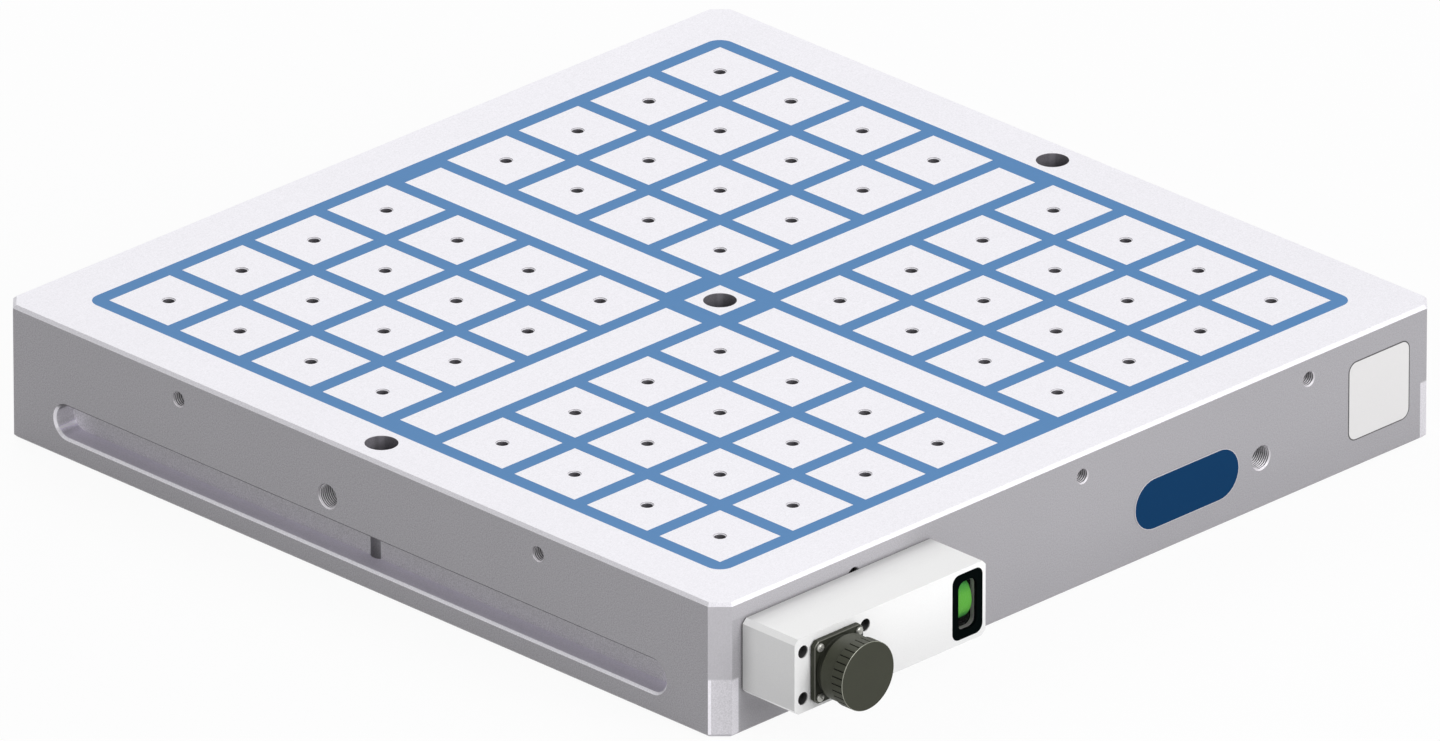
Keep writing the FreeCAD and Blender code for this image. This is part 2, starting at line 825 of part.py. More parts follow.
def make_indicator_window():
    body = new_body("indicator_window")
    front = "box_front - window_inset - window_thickness"
    face = sketch_on(body, "face", "XZ_Plane", "indicator_across", "box_level", front)
    rectangle(face, "window_width", "window_height")
    pad(body, face, "window_thickness")
    chamfer_edges(body, "window_corner", along_depth)
    return keep(body)


def make_indicator_cradle():
    """Two cheeks that carry the axle, joined behind the drum; their front ends meet the bezel."""
    low = "box_level - cheek_height / 2"
    reach = "box_inside_front - cradle_back"
    left = block(
        "left_cheek",
        "cheek_thickness",
        reach,
        "cheek_height",
        "indicator_across - cheek_inside - cheek_thickness",
        "-box_inside_front",
        low,
    )
    right = block(
        "right_cheek",
        "cheek_thickness",
        reach,
        "cheek_height",
        "indicator_across + cheek_inside",
        "-box_inside_front",
        low,
    )
    bridge = block(
        "cradle_bridge",
        "2 * (cheek_inside + cheek_thickness)",
        "cheek_thickness",
        "cheek_height",
        "indicator_across - cheek_inside - cheek_thickness",
        "-(cradle_back + cheek_thickness)",
        low,
    )
    frame = fuse("cradle_frame", left, right, bridge)
    slot = "2 * (axle_radius + axle_gap)"
    notch = block(
        "axle_slot",
        "2 * (cheek_inside + cheek_thickness)",
        f"box_inside_front - drum_back + {slot} / 2",
        slot,
        "indicator_across - cheek_inside - cheek_thickness",
        "-box_inside_front",
        f"box_level - {slot} / 2",
    )
    return keep(cut("indicator_cradle", frame, notch))


def make_drum():
    """An axle between two half drums, one for each state."""
    span = "cheek_inside + cheek_thickness"
    keep(
        rod(
            "drum_axle",
            "axle_radius",
            f"2 * ({span})",
            f"indicator_across - ({span})",
            "-drum_back",
            "box_level",
            SIDEWAYS,
        )
    )
    for name, turn in (("green_half_drum", 180), ("red_half_drum", 0)):
        body = new_body(name)
        face = sketch_on(body, "face", "XY_Plane")
        disc(face, "2 * drum_radius")
        pad(body, face, "drum_width")
        other_half = sketch_on(body, "other_half", "XY_Plane", y="-drum_radius", z="drum_width")
        rectangle(other_half, "4 * drum_radius", "2 * drum_radius")
        pocket(body, other_half)
        bore = sketch_on(body, "bore", "XY_Plane", z="drum_width")
        disc(bore, "2 * axle_radius")
        pocket(body, bore)
        place(
            body,
            "indicator_across - drum_width / 2",
            "-drum_back",
            "box_level",
            SIDEWAYS.multiply(Rotation(Vector(0, 0, 1), turn)),
        )
        keep(body)


def make_flip_coil():
    """The winding beside the left cheek that turns the drum over, and its core."""
    left = "indicator_across - cheek_inside - cheek_thickness - flip_coil_length"

    def centred(name, size):
        low_y = f"-drum_back - {size} / 2"
        low_z = f"box_level - {size} / 2"
        return block(name, "flip_coil_length", size, size, left, low_y, low_z)

    outside = centred("winding_outside", "flip_coil_size")
    inside = centred("winding_inside", "flip_coil_window")
    keep(cut("flip_coil", outside, inside))
    keep(centred("flip_core", "flip_coil_window"))


def make_supply_lead():
    """The sheathed lead from the windings, through its duct, to the back of the socket."""
    far = "box_front - insert_tail"
    reach = f"{far} - lead_end"
    start = ("socket_across", "-lead_end", "lead_level")
    keep(rod("supply_lead", "lead_radius", reach, *start, FORWARD))


make_housing()
make_pole_shoes()
make_pole_coils()
make_side_magnets()
make_bars()
make_centre_post()
make_top_resin()
make_connection_box()
make_box_gasket()
make_flange_gasket()
make_connector_shell()
make_connector_insert()
make_connector_pins()
make_dust_cap()
make_cap_seal()
make_indicator_bezel()
make_indicator_window()
make_indicator_cradle()
make_drum()
make_flip_coil()
make_supply_lead()
doc.recompute()

for item in doc.Objects:
    if "Invalid" in item.State or "Error" in item.State:
        raise RuntimeError(f"{item.Label} did not rebuild: {item.State}")
for piece in pieces:
    if piece.Shape.isNull() or not piece.Shape.isValid() or not piece.Shape.Solids:
        raise RuntimeError(f"{piece.Label} has no valid solid")

os.makedirs("parts", exist_ok=True)
for piece in pieces:
    piece.Shape.exportStep(f"parts/{piece.Label}.step")
    box = piece.Shape.BoundBox
    print(
        f"{piece.Label}: {len(piece.Shape.Solids)} solids, {piece.Shape.Volume:.0f} mm3, "
        f"x {box.XMin:.1f} to {box.XMax:.1f}, y {box.YMin:.1f} to {box.YMax:.1f}, "
        f"z {box.ZMin:.1f} to {box.ZMax:.1f}"
    )
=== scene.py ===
import math
from functools import reduce

import bmesh
import bpy
from mathutils import Matrix, Vector


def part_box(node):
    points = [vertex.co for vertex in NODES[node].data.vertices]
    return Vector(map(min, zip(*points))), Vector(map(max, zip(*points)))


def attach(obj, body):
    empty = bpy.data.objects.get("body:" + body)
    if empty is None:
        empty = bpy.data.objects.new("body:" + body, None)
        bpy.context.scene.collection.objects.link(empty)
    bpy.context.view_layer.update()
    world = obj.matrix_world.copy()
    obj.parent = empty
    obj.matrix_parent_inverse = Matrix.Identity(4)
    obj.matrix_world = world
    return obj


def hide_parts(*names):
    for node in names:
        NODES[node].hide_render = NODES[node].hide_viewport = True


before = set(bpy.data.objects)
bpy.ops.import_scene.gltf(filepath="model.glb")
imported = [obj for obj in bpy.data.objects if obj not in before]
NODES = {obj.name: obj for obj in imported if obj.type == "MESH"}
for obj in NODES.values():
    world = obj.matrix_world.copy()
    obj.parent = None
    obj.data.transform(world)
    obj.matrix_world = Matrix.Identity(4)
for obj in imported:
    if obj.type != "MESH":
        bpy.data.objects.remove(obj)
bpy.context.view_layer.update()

MM = 0.001
FORWARD = (0, -1, 0)
CORNERS = [(across, rise) for across in (-1, 1) for rise in (-1, 1)]


def millimetres(node):
    """The lowest and highest corners of a node of the frame."""
    return [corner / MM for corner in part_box(node)]


# Places and sizes, in millimetres. The origin is in the middle of the plate's underside.
PLATE_LOW, PLATE_HIGH = millimetres("housing")
PLATE_TOP = PLATE_HIGH.z
MOUNT_PLACES = (-280, 0, 280)
MOUNT_SEAT_RADIUS = 10
MOUNT_SEAT_DEPTH = 20
MOUNT_HOLE_RADIUS = 6.75

# The clamp grooves along the left and right sides.
GROOVE_BACK = 285
GROOVE_LIP = 298.5
GROOVE_FLOOR = 14.1
GROOVE_TOP = 36
GROOVE_END = 255

# Each thread's radius at its root and at its crest, and its pitch.
POLE_THREAD = (4.0, 3.4, 1.25)
STOP_THREAD = (5.0, 4.25, 1.5)
LIFT_THREAD = (8.0, 7.1, 1.5)
BARREL_THREAD = (16.65, 17.45, 1.411)

# The threaded holes of the sides, by their places along the side and their height.
STOP_HEIGHT = 71
STOP_DEPTH = 19.5
LEFT_STOPS = (-150, 150)
FRONT_STOPS = (-190, 0, 190)
LIFT_DEPTH = 23.5
LEFT_LIFT = (25, 49.6)
FRONT_LIFT = (150, 33)

# The poles.
POLES_LOW, POLES_HIGH = millimetres("pole_shoes")
POLE_SIZE = 50
POLE_PITCH = 60
POLES_PER_ROW = 4
POLE_EDGE = 0.15
POLE_HOLE_DEPTH = 18
POLE_THREAD_DEPTH = 6
POLE_SINK_RADIUS = 4.15
POLE_CENTRES = [
    side * (POLES_HIGH.x - POLE_SIZE / 2 - step * POLE_PITCH)
    for side in (-1, 1)
    for step in range(POLES_PER_ROW)
]

# The connection box, with its indicator, socket and cap.
BOX_LOW, BOX_HIGH = millimetres("connection_box")
BEZEL_LOW, BEZEL_HIGH = millimetres("indicator_bezel")
BEZEL_MIDDLE = (BEZEL_LOW + BEZEL_HIGH) / 2
FLANGE_LOW, FLANGE_HIGH = millimetres("connector_shell")
CAP_LOW, CAP_HIGH = millimetres("dust_cap")
SOCKET_X = (FLANGE_LOW.x + FLANGE_HIGH.x) / 2
SOCKET_Z = (FLANGE_LOW.z + FLANGE_HIGH.z) / 2
FLANGE_HALF = (FLANGE_HIGH.x - FLANGE_LOW.x) / 2
FLANGE_THICKNESS = 3.4
FLANGE_CORNER = 3
FLANGE_EDGE = 0.45
BOX_SCREW_REACH = (25.5, 15)
BOX_SCREW_SEAT = 8
BOX_BORE_RADIUS = 4
FLANGE_SCREW_REACH = 16
BOX_SCREWS = [
    (SOCKET_X + across * BOX_SCREW_REACH[0], SOCKET_Z + rise * BOX_SCREW_REACH[1])
    for across, rise in CORNERS
]
FLANGE_SCREWS = [
    (SOCKET_X + across * FLANGE_SCREW_REACH, SOCKET_Z + rise * FLANGE_SCREW_REACH)
    for across, rise in CORNERS
]

# The two plates on the front side: their middles, widths, heights and corners.
BADGE_PLACE = (87.2, PLATE_LOW.y, 33.7)
BADGE_SIZE = (87.4, 32.8, 16.35)
LABEL_PLACE = (249.5, PLATE_LOW.y, 43.8)
LABEL_SIZE = (52, 51.4, 6.5)


def side_holes():
    """Every threaded hole of the sides: its mouth, the way it faces, its thread and its depth."""
    stops = [((PLATE_LOW.x, y, STOP_HEIGHT), (-1, 0, 0)) for y in LEFT_STOPS]
    stops += [((x, PLATE_LOW.y, STOP_HEIGHT), FORWARD) for x in FRONT_STOPS]
    holes = [(*stop, STOP_THREAD, STOP_DEPTH) for stop in stops]
    for half in (1, -1):
        along, height = LEFT_LIFT
        holes.append(((half * PLATE_LOW.x, half * along, height), (-half, 0, 0), LIFT_THREAD, LIFT_DEPTH))
    for half in (1, -1):
        along, height = FRONT_LIFT
        holes.append(((half * along, half * PLATE_LOW.y, height), (0, -half, 0), LIFT_THREAD, LIFT_DEPTH))
    return holes


SIDE_HOLES = side_holes()


class Field:
    """A value or a colour that changes over a surface, for use in plain expressions."""

    def __init__(self, finish, socket):
        self.finish = finish
        self.socket = socket

    def maths(self, operation, *values):
        """Adds a Math node."""
        return self.finish.node("Math", {"operation": operation}, dict(enumerate(values)))

    def __add__(self, other):
        return self.maths("ADD", self, other)

    def __sub__(self, other):
        return self.maths("SUBTRACT", self, other)

    def __rsub__(self, other):
        return self.maths("SUBTRACT", other, self)

    def __mul__(self, other):
        return self.maths("MULTIPLY", self, other)

    def __abs__(self):
        return self.maths("ABSOLUTE", self)

    __radd__ = __add__
    __rmul__ = __mul__

    def root(self):
        return self.maths("SQRT", self)

    def least(self, other):
        return self.maths("MINIMUM", self, other)

    def most(self, other):
        return self.maths("MAXIMUM", self, other)

    def rise(self, start, end):
        """0 below start, 1 above end, smooth between them."""
        settings = {"interpolation_type": "SMOOTHSTEP"}
        return self.finish.node("MapRange", settings, {0: self, 1: start, 2: end, 3: 0.0, 4: 1.0})


class Finish:
    """A material, with the nodes that vary it."""

    def __init__(self, name, colour=None, roughness=0.5, metallic=0.0, **fixed):
        self.material = bpy.data.materials.new(name)
        self.material.use_nodes = True
        self.tree = self.material.node_tree
        self.shader = self.tree.nodes["Principled BSDF"]
        if colour:
            self.vary("Base Color", (*colour, 1))
        self.vary("Roughness", roughness)
        self.vary("Metallic", metallic)
        for socket, value in fixed.items():
            self.vary(socket.replace("_", " "), value)

    def node(self, kind, settings=None, inputs=None, output=0):
        """Adds a node, gives it its settings and then its inputs, and returns one of its outputs."""
        made = self.tree.nodes.new("ShaderNode" + kind)
        for name, value in (settings or {}).items():
            setattr(made, name, value)
        for name, value in (inputs or {}).items():
            if isinstance(value, Field):
                self.tree.links.new(value.socket, made.inputs[name])
            else:
                made.inputs[name].default_value = value
        return Field(self, made.outputs[output])

    def vary(self, socket, value):
        """Sets a socket of the shader to a number or a colour, or links what changes to it."""
        if isinstance(value, Field):
            self.tree.links.new(value.socket, self.shader.inputs[socket])
        else:
            self.shader.inputs[socket].default_value = value

    def place(self):
        """The place on the object, in metres."""
        return self.node("TexCoord", output="Object")

    def parts(self, vector):
        """The three parts of a vector."""
        return [self.node("SeparateXYZ", None, {0: vector}, axis) for axis in range(3)]

    def facing(self):
        """The three parts of the surface's direction."""
        return self.parts(self.node("TexCoord", output="Normal"))

    def spot(self):
        """The three parts of the place, in millimetres."""
        settings, inputs = {"operation": "SCALE"}, {0: self.place(), "Scale": 1 / MM}
        return self.parts(self.node("VectorMath", settings, inputs))

    def noise(self, size, detail=2.0):
        """Noise from 0 to 1 whose grains are about size millimetres wide."""
        inputs = {"Vector": self.place(), "Scale": 1 / (size * MM), "Detail": detail}
        return self.node("TexNoise", None, inputs)

    def mix(self, share, first, second):
        """Blends two colours."""
        first, second = (c if isinstance(c, Field) else (*c, 1) for c in (first, second))
        return self.node("Mix", {"data_type": "RGBA"}, {0: share, 6: first, 7: second}, 2)

    def shade(self, colour, strength):
        """A colour made lighter or darker."""
        return self.node("VectorMath", {"operation": "SCALE"}, {0: colour, "Scale": strength})

    def relief(self, height, depth):
        """Fine relief, depth in millimetres."""
        bump = self.node("Bump", None, {"Height": height, "Distance": depth * MM, "Strength": 1.0})
        self.vary("Normal", bump)


# Masks: where on the object a finish changes.
def near_line(spot, centre, radius, axes):
    """1 within radius of a straight line that crosses both axes at right angles at centre."""
    first, second = [spot[axis] - place for axis, place in zip(axes, centre)]
    distance = (first * first + second * second).root()
    return 1 - distance.rise(radius, radius + 0.15)


def down_mounts(spot, radius):
    """1 within radius of a mounting hole's axis."""
    return reduce(Field.most, [near_line(spot, (x, 0), radius, (0, 1)) for x in MOUNT_PLACES])


def in_grooves(spot):
    """1 inside the clamp grooves, from their backs to their lips."""
    reach = abs(spot[0])
    past_back = reach.rise(GROOVE_BACK - 0.3, GROOVE_BACK - 0.1)
    before_lip = 1 - reach.rise(GROOVE_LIP - 0.2, GROOVE_LIP)
    return past_back * before_lip * (1 - spot[2].rise(GROOVE_TOP, GROOVE_TOP + 2))


def beyond_bore(spot):
    """How far a point lies outside the bore of the side hole that it is in, in millimetres."""
    beyond = []
    for place, outward, (root, _, _), _ in SIDE_HOLES:
        sideways = 1 if outward[0] else 0
        across, up = spot[sideways] - place[sideways], spot[2] - place[2]
        beyond.append((across * across + up * up).root() - root)
    return reduce(Field.least, beyond)


# Finishes.
GROUND_TOP = (0.90, 0.887, 0.935)
MILLED_SIDE = (0.384, 0.375, 0.396)
LEDGE_STEEL = (0.78, 0.745, 0.85)
# Painted shade in the screw seats, and painted light down the through holes below them.
SEAT_PAINTED_SHADE = (0.18, 0.172, 0.192)
HOLE_PAINTED_LIGHT = (0.55, 0.54, 0.57)


def groove_painted_light(facing, spot, groove, ledge):
    """Painted light and shade in the clamp grooves: lighter backs, round ends and rims, floors darker
    towards the lips and the ends, and darker overhangs.
    """
    across, along, upward = facing
    reach = abs(spot[0])
    toward_end = abs(spot[1])
    # Painted light on the grooves' back walls, most of all low down.
    back = groove * (1 - reach.rise(GROOVE_BACK + 0.1, GROOVE_BACK + 0.3)) * abs(across).rise(0.8, 0.95)
    low_back = 1 - spot[2].rise(GROOVE_FLOOR, GROOVE_FLOOR + 11)
    steep = groove * (1 - upward.rise(0.6, 0.8))
    end = steep * toward_end.rise(GROOVE_END - 22, GROOVE_END - 3)
    arc = steep * abs(along).rise(0.3, 0.9)
    slanted = abs(along).rise(0.3, 0.6) * (1 - abs(along).rise(0.75, 0.85))
    within_side = 1 - reach.rise(PLATE_HIGH.x - 0.1, PLATE_HIGH.x - 0.01)
    rim = reach.rise(GROOVE_LIP, GROOVE_LIP + 0.1) * within_side * slanted
    rim = rim * (1 - spot[2].rise(GROOVE_TOP, GROOVE_TOP + 2))
    outward = reach.rise(GROOVE_BACK, GROOVE_LIP)
    # Painted shade on the floors towards the lips and the ends.
    floor_painted_shading = 0.1 - outward * 0.2 - toward_end.rise(GROOVE_END - 9, GROOVE_END - 4) * 0.22
    # Painted shade under the overhangs.
    overhang = (0 - upward).rise(0.4, 0.6) * spot[2].rise(GROOVE_FLOOR, GROOVE_FLOOR + 5)
    strength = (1 + back * (low_back * 0.24 + 0.3)) * (1 + end * 0.45 + arc * 0.3 + rim * 0.8)
    return strength * (1 + ledge * floor_painted_shading) * (1 - overhang * 0.6)


def outside_painted_light(facing, spot, bevel, open_side):
    """Painted highlights on the outside's edges and chamfers, painted light on the front side above and
    beside the connection box, and painted shade low on the front.
    """
    across, along, upward = facing
    front = (0 - along).rise(0.9, 0.98)
    over_box = spot[2].rise(BOX_HIGH.z, BOX_HIGH.z + 2)
    above_box = over_box * (1 - spot[0].rise(BOX_HIGH.x - 35, BOX_HIGH.x + 3))
    beside_box = (1 - over_box) * (1 - spot[0].rise(BOX_LOW.x - 2, BOX_LOW.x))
    low_front = 1 - spot[2].rise(0, 50)
    front_edge = (0 - along).rise(0.5, 0.65) * upward.rise(0.5, 0.65)
    sloped = upward.rise(0.5, 0.65) * (1 - upward.rise(0.78, 0.9)) * open_side
    corner = abs(across).least(abs(along)).rise(0.35, 0.48)
    low = 1 - spot[2].rise(30, 60)
    # Painted light above and beside the box, and painted shade near the floor.
    strength = 1 + front * (above_box * 0.26 + beside_box * 0.12 - low_front * 0.05)
    # Painted highlights on the corner chamfers, the top front edge and the sloped chamfers, most of all near
    # the floor.
    strength = strength * (1 + bevel * 0.3) * (1 + front_edge * 0.34)
    return strength * (1 + sloped * (low * 0.3 + 0.12 + corner * 0.16))


def ground_steel():
    """Steel that is ground bright on top and dull on its sides, with painted shade in the screw seats,
    painted light down the holes below them, and painted light and shade on its edges and in its grooves.
    """
    finish = Finish("ground_steel", Specular_IOR_Level=0.12)
    facing, spot = finish.facing(), finish.spot()
    across, along, upward = facing
    grain = finish.noise(0.8)
    cloud = finish.noise(90)

    groove = in_grooves(spot)
    open_side = 1 - groove
    ledge = groove * upward.rise(0.3, 0.95)
    top = upward.rise(0.4, 1.0)
    left = (0 - across).rise(0.9, 0.98)
    bevel = abs(across).least(abs(along)).rise(0.5, 0.65) * open_side
    coarseness = 0.6 - top * 0.26 - bevel * 0.32 + left * 0.35
    strength = 1 + (grain - 0.5) * coarseness + (cloud - 0.5) * 0.04
    # Painted light and shade in the grooves, on the outside's edges and round the connection box.
    strength = strength * groove_painted_light(facing, spot, groove, ledge)
    strength = strength * outside_painted_light(facing, spot, bevel, open_side)

    below_top = 1 - spot[2].rise(PLATE_TOP - 0.4, PLATE_TOP - 0.1)
    seat_bottom = PLATE_TOP - MOUNT_SEAT_DEPTH
    above_seat = spot[2].rise(seat_bottom - 2, seat_bottom - 1)
    in_seat = down_mounts(spot, MOUNT_SEAT_RADIUS + 0.05) * below_top * above_seat
    in_hole = down_mounts(spot, MOUNT_HOLE_RADIUS + 0.05) * (1 - above_seat)
    colour = finish.mix(top * open_side, MILLED_SIDE, GROUND_TOP)
    colour = finish.mix(ledge, colour, LEDGE_STEEL)
    # Painted shade in the screw seats.
    colour = finish.mix(in_seat, colour, SEAT_PAINTED_SHADE)
    # Painted light down the through holes.
    colour = finish.mix(in_hole, colour, HOLE_PAINTED_LIGHT)
    finish.vary("Base Color", finish.shade(colour, strength))
    finish.vary("Metallic", 0.2 - top * 0.15)
    finish.vary("Roughness", 0.48 + (grain - 0.5) * 0.12)
    finish.relief(grain, 0.012)
    return finish.material


def pole_steel():
    """The poles' ground steel, with painted shade in a line at the top edges and down the threaded holes,
    and a painted highlight on a thread crest inside them.
    """
    finish = Finish("pole_steel", metallic=0.05, Specular_IOR_Level=0.12)
    grain = finish.noise(0.8)
    depth = PLATE_TOP - finish.spot()[2]
    edge_painted_shade = depth.rise(0.02, 0.1) * (1 - depth.rise(0.22, 0.36))
    crest_painted_highlight = depth.rise(1.8, 2.0) * (1 - depth.rise(2.1, 2.3))
    # Painted shade on the top edges' chamfers and down the holes, and a painted highlight on a thread crest.
    colour = finish.mix(edge_painted_shade, GROUND_TOP, (0.3, 0.29, 0.305))
    colour = finish.mix(depth.rise(0.85, 1.15), colour, (0.10, 0.094, 0.106))
    colour = finish.mix(crest_painted_highlight, colour, (0.42, 0.41, 0.43))
    finish.vary("Base Color", finish.shade(colour, 1 + (grain - 0.5) * 0.34))
    finish.vary("Roughness", 0.48 + (grain - 0.5) * 0.12)
    finish.relief(grain, 0.012)
    return finish.material


def thread_steel():
    """Cut threads, with painted light and shade: bright at the mouth, darker deeper inside and in their
    grooves, and lighter where they face up.
    """
    finish = Finish("thread_steel", roughness=0.4, metallic=0.2)
    spot = finish.spot()
    upward = finish.facing()[2]
    depth = PLATE_HIGH.x - abs(spot[0]).most(abs(spot[1]))
    grain = finish.noise(0.8)
    groove = beyond_bore(spot).rise(-0.6, -0.38) * depth.rise(0.5, 1.2)
    # Painted shade deeper in and in the thread grooves.
    colour = finish.mix(depth.rise(0.5, 7.0), (0.62, 0.60, 0.63), (0.5, 0.49, 0.51))
    colour = finish.mix(groove, colour, (0.12, 0.115, 0.125))
    # Painted light where the flanks face up.
    finish.vary("Base Color", finish.shade(colour, 1 + (grain - 0.5) * 0.1 + upward.rise(0.1, 0.8) * 0.5))
    return finish.material


def cast_resin():
    """Blue casting resin, ground flush with the poles."""
    finish = Finish("blue_resin", Specular_IOR_Level=0.03)
    cloud = finish.noise(60, 3.0)
    grain = finish.noise(0.9)
    colour = finish.mix(cloud, (0.092, 0.25, 0.51), (0.107, 0.266, 0.54))
    finish.vary("Base Color", finish.shade(colour, 1 + (grain - 0.5) * 0.06))
    finish.vary("Roughness", 0.4 + (grain - 0.5) * 0.1)
    return finish.material


def box_paint():
    """White satin paint, with painted shade: darker on its top and left side, towards the plate and low
    down, and dark in the bores and behind the bezel.
    """
    finish = Finish("box_paint", Coat_Weight=0.15, Coat_Roughness=0.3)
    spot = finish.spot()
    across, along, upward = finish.facing()
    grain = finish.noise(0.7, 3.0)

    bores = [near_line(spot, screw, BOX_BORE_RADIUS + 0.05, (0, 2)) for screw in BOX_SCREWS]
    pocket = (BEZEL_HIGH - BEZEL_LOW) / 2
    across_pocket = 1 - abs(spot[0] - BEZEL_MIDDLE.x).rise(pocket.x + 0.2, pocket.x + 0.4)
    up_pocket = 1 - abs(spot[2] - BEZEL_MIDDLE.z).rise(pocket.z + 0.2, pocket.z + 0.4)
    openings = reduce(Field.most, bores).most(across_pocket * up_pocket)
    inward = (spot[1] - BOX_LOW.y).rise(0.15, 1.2)
    colour = finish.mix(finish.noise(40), (0.88, 0.879, 0.877), (0.90, 0.899, 0.897))
    # Painted shade in the bores and behind the bezel.
    colour = finish.mix(openings * inward, colour, (0.07, 0.07, 0.072))

    top = upward.rise(0.75, 0.95)
    left = (0 - across).rise(0.75, 0.95)
    front = (0 - along).rise(0.5, 0.9)
    from_plate = spot[1] - BOX_HIGH.y
    low = 1 - spot[2].rise(BOX_LOW.z, BOX_HIGH.z - 4)
    # Painted light and shade: the top and left side darker, most of all next to the plate and low down, with
    # a lighter band on the top a little in front of the plate.
    top_painted_shading = from_plate.rise(-20, -9) * 0.09 - from_plate.rise(-7, -0.5) * 0.28 - 0.15
    left_painted_shading = 0 - from_plate.rise(-12, 1) * 0.2 - low * 0.06 - 0.18
    front_painted_shading = 0 - low * 0.13 - 0.02
    strength = 1 + (grain - 0.5) * 0.08 + top * top_painted_shading + left * left_painted_shading + front * front_painted_shading
    finish.vary("Base Color", finish.shade(colour, strength))
    finish.vary("Roughness", 0.4 + (grain - 0.5) * 0.1)
    finish.relief(grain, 0.01)
    return finish.material


def olive_plating(name, colour, roughness):
    """Dull olive plating, a little worn and uneven, with painted light: lighter on the faces round its axis
    than on those across it.
    """
    finish = Finish(name, metallic=0.1, Specular_IOR_Level=0.15)
    grain = finish.noise(0.6, 3.0)
    cloud = finish.noise(14)
    along = finish.facing()[1]
    strength = 1 + (grain - 0.5) * 0.3 + (cloud - 0.5) * 0.12
    # Painted light on the faces round the axis.
    strength = strength * (1.2 - abs(along) * 0.2)
    finish.vary("Base Color", finish.shade(colour, strength))
    finish.vary("Roughness", roughness + (grain - 0.5) * 0.16)
    return finish.material


def plain(name, colour, roughness, grain_size=1.0, contrast=0.08, **fixed):
    """A finish of one colour with a fine grain."""
    finish = Finish(name, **fixed)
    grain = finish.noise(grain_size)
    finish.vary("Base Color", finish.shade(colour, 1 + (grain - 0.5) * contrast))
    finish.vary("Roughness", roughness + (grain - 0.5) * 0.08)
    return finish.material


def clear_window():
    """Clear plastic that shows the drum behind it."""
    finish = Finish("clear_window", (0.02, 0.02, 0.02), 0.06)
    smear = finish.noise(6)
    finish.vary("Alpha", 0.03 + smear * 0.02)
    return finish.material


def green_drum():
    """Green plastic, with painted shade towards the drum's upper and lower edges."""
    finish = Finish("green_drum", Specular_IOR_Level=0.1)
    grain = finish.noise(0.8)
    edge = abs(finish.spot()[2] - BEZEL_MIDDLE.z).rise(4, 14)
    # Painted shade towards the drum's upper and lower edges.
    colour = finish.mix(edge, (0.12, 0.45, 0.056), (0.045, 0.36, 0.07))
    finish.vary("Base Color", finish.shade(colour, 1 + (grain - 0.5) * 0.05 - edge * 0.2))
    finish.vary("Roughness", 0.45 + (grain - 0.5) * 0.08)
    return finish.material


def wound_copper():
    """Enamelled wire in close turns."""
    wire_radius = 0.25
    finish = Finish("copper_winding", roughness=0.35, metallic=0.8)
    zigzag = finish.node("Math", {"operation": "PINGPONG"}, {0: finish.spot()[0], 1: wire_radius})
    turns = zigzag * (1 / wire_radius)
    finish.vary("Base Color", finish.mix(turns, (0.28, 0.11, 0.04), (0.66, 0.32, 0.14)))
    finish.relief(turns, 0.1)
    return finish.material


STEEL = ground_steel()
POLE_STEEL = pole_steel()
THREAD_STEEL = thread_steel()
RESIN = cast_resin()
POTTING = plain("potted_coil", (0.30, 0.17, 0.10), 0.55, 3.0, 0.2)
MAGNET = plain("side_magnet", (0.55, 0.55, 0.57), 0.3, 1.5, 0.06, metallic=0.9)
BOX_PAINT = box_paint()
SEAL_RUBBER = plain("seal_rubber", (0.028, 0.028, 0.029), 0.8)
SHELL_PLATING = olive_plating("olive_shell", (0.032, 0.034, 0.025), 0.46)
# A painted highlight on the flange's front edge.
SHELL_EDGE_HIGHLIGHT = plain("shell_edge_highlight", (0.105, 0.105, 0.088), 0.4, 2.0, 0.6, metallic=0.3)
CAP_PLATING = olive_plating("olive_cap", (0.042, 0.044, 0.031), 0.52)
# Painted shade down the cap's flutes.
CAP_FLUTE_SHADE = plain("cap_flute_shade", (0.012, 0.013, 0.01), 0.7, Specular_IOR_Level=0.05)
# A painted highlight on the cap's front edge.
CAP_EDGE_HIGHLIGHT = plain("cap_edge_highlight", (0.27, 0.275, 0.23), 0.35, 3.0, 1.2, metallic=0.4)
INSERT_PLASTIC = plain("insert_plastic", (0.02, 0.02, 0.021), 0.5)
CONTACT_BRASS = plain("contact_brass", (0.78, 0.60, 0.28), 0.25, 1.0, 0.06, metallic=1.0)
BEZEL_PLASTIC = plain("bezel_plastic", (0.002, 0.0034, 0.0034), 0.4, Specular_IOR_Level=0.0)
LINER = plain("window_liner", (0.24, 0.215, 0.225), 0.4, 1.0, 0.1)
WINDOW = clear_window()
CRADLE_STEEL = plain("cradle_steel", (0.30, 0.30, 0.31), 0.4, 0.8, 0.1, metallic=0.7)
BLACKED_STEEL = plain("blacked_steel", (0.006, 0.006, 0.006), 0.5, Specular_IOR_Level=0.05)
GREEN_PLASTIC = green_drum()
RED_PLASTIC = plain("red_drum", (0.56, 0.022, 0.016), 0.45, 0.8, 0.05, Specular_IOR_Level=0.1)
COPPER = wound_copper()
LEAD_SHEATH = plain("lead_sheath", (0.03, 0.03, 0.03), 0.6)
ZINC_SCREW = plain("zinc_screw", (0.42, 0.42, 0.39), 0.35, 0.7, 0.14, metallic=0.6)
BLACK_SCREW = plain("black_screw", (0.025, 0.025, 0.026), 0.4, 0.7, 0.1, metallic=0.4)
PLATE_RIM = plain("plate_rim", (0.6, 0.58, 0.61), 0.4, 0.8, 0.05, metallic=0.2)
BADGE_BLUE = plain("badge_blue", (0.003, 0.038, 0.112), 0.3, 4.0, 0.05, Specular_IOR_Level=0.03)
LABEL_LINE = plain("label_line", (0.07, 0.07, 0.072), 0.5)
LABEL_WHITE = plain("label_white", (0.70, 0.69, 0.69), 0.45, 2.0, 0.03)

